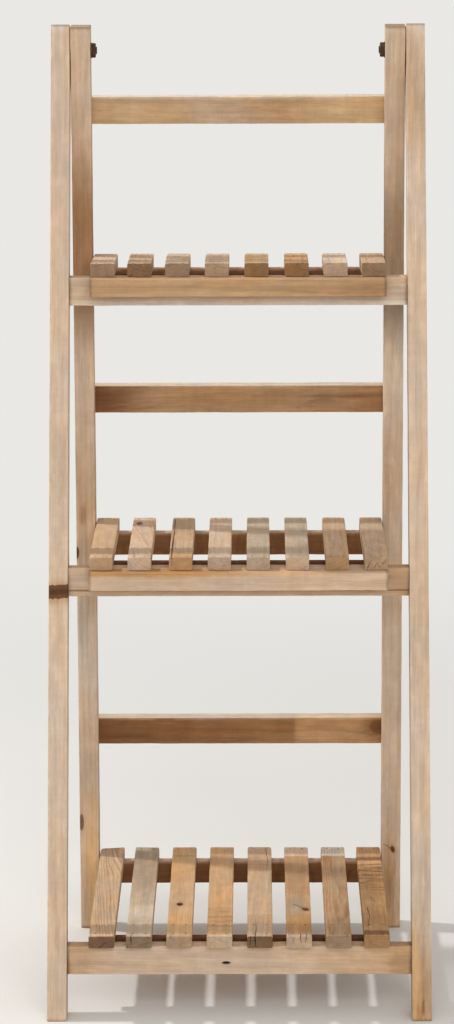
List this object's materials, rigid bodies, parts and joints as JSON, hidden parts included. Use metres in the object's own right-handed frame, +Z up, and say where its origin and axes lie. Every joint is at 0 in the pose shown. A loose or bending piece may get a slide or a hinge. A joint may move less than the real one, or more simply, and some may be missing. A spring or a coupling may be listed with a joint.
{
  "type": "folding plant ladder stand",
  "caption": "Folding wooden ladder stand for plants, with a leaning front frame, an upright rear frame and slatted shelves that hook over the rungs.",
  "frame": {"origin": "on the floor, under the middle of the opened stand's footprint", "axes": "+Z up, +X to the right of someone facing the stand's front, -Y towards that person"},
  "size_m": [0.381, 0.3554, 0.9621],
  "materials": {
    "front_leg_wood": "sawn, weathered pine, pale",
    "rear_leg_wood": "sawn, weathered pine",
    "back_rail_wood": "sawn pine, browner",
    "slat_wood": "sawn pine, mixed tones",
    "rung_wood": "sawn pine",
    "lip_wood": "sawn pine with bark edge tones",
    "batten_wood": "sawn pine, dark",
    "screw_steel": "zinc-yellow wood screws",
    "nail_steel": "dark brads",
    "nut_steel": "dark brown, aged",
    "bolt_steel": "dark, aged",
    "pivot_steel": "plain steel pins"
  },
  "bodies": {
    "rear_frame": {"rear_leg_left": "rear_leg_wood", "rear_leg_right": "rear_leg_wood", "bottom_back_rail": "back_rail_wood", "middle_back_rail": "back_rail_wood", "top_back_rail": "back_rail_wood", "rear_frame_screws": "screw_steel"},
    "front_frame": {"front_leg_left": "front_leg_wood", "front_leg_right": "front_leg_wood", "bottom_rung": "rung_wood", "middle_rung": "rung_wood", "top_rung": "rung_wood", "front_frame_screws": "screw_steel", "hinge_bolt_left": "bolt_steel", "hinge_bolt_right": "bolt_steel", "hinge_washer_left": "bolt_steel", "hinge_washer_right": "bolt_steel", "hinge_nut_left": "nut_steel", "hinge_nut_right": "nut_steel"},
    "bottom_shelf": {"bottom_slat_1": "slat_wood", "bottom_slat_2": "slat_wood", "bottom_slat_3": "slat_wood", "bottom_slat_4": "slat_wood", "bottom_slat_5": "slat_wood", "bottom_slat_6": "slat_wood", "bottom_slat_7": "slat_wood", "bottom_slat_8": "slat_wood", "bottom_rear_rail": "batten_wood", "bottom_keeper_rail": "batten_wood", "bottom_nails": "nail_steel", "bottom_pivots": "pivot_steel"},
    "middle_shelf": {"middle_slat_1": "slat_wood", "middle_slat_2": "slat_wood", "middle_slat_3": "slat_wood", "middle_slat_4": "slat_wood", "middle_slat_5": "slat_wood", "middle_slat_6": "slat_wood", "middle_slat_7": "slat_wood", "middle_slat_8": "slat_wood", "middle_rear_rail": "batten_wood", "middle_keeper_rail": "batten_wood", "middle_nails": "nail_steel", "middle_pivots": "pivot_steel", "middle_lip": "lip_wood"},
    "top_shelf": {"top_slat_1": "slat_wood", "top_slat_2": "slat_wood", "top_slat_3": "slat_wood", "top_slat_4": "slat_wood", "top_slat_5": "slat_wood", "top_slat_6": "slat_wood", "top_slat_7": "slat_wood", "top_slat_8": "slat_wood", "top_rear_rail": "batten_wood", "top_keeper_rail": "batten_wood", "top_nails": "nail_steel", "top_pivots": "pivot_steel", "top_lip": "lip_wood"}
  },
  "joints": [
    {"name": "frame_fold", "type": "hinge", "parent": "rear_frame", "child": "front_frame", "pos_m": [0, 0.12639, 0.935], "axis": [1, 0, 0], "range_deg": [0, 11.4]},
    {"name": "bottom_shelf_lift", "type": "hinge", "parent": "rear_frame", "child": "bottom_shelf", "pos_m": [0, 0.15403, 0.0587], "axis": [-1, 0, 0], "range_deg": [0, 80]},
    {"name": "middle_shelf_lift", "type": "hinge", "parent": "rear_frame", "child": "middle_shelf", "pos_m": [0, 0.1446, 0.4187], "axis": [-1, 0, 0], "range_deg": [0, 80]},
    {"name": "top_shelf_lift", "type": "hinge", "parent": "rear_frame", "child": "top_shelf", "pos_m": [0, 0.13684, 0.69831], "axis": [-1, 0, 0], "range_deg": [0, 80]}
  ],
  "couplings": [
    {"joint": "bottom_shelf_lift", "follows": "frame_fold", "ratio": 7},
    {"joint": "middle_shelf_lift", "follows": "frame_fold", "ratio": 7},
    {"joint": "top_shelf_lift", "follows": "frame_fold", "ratio": 7}
  ]
}
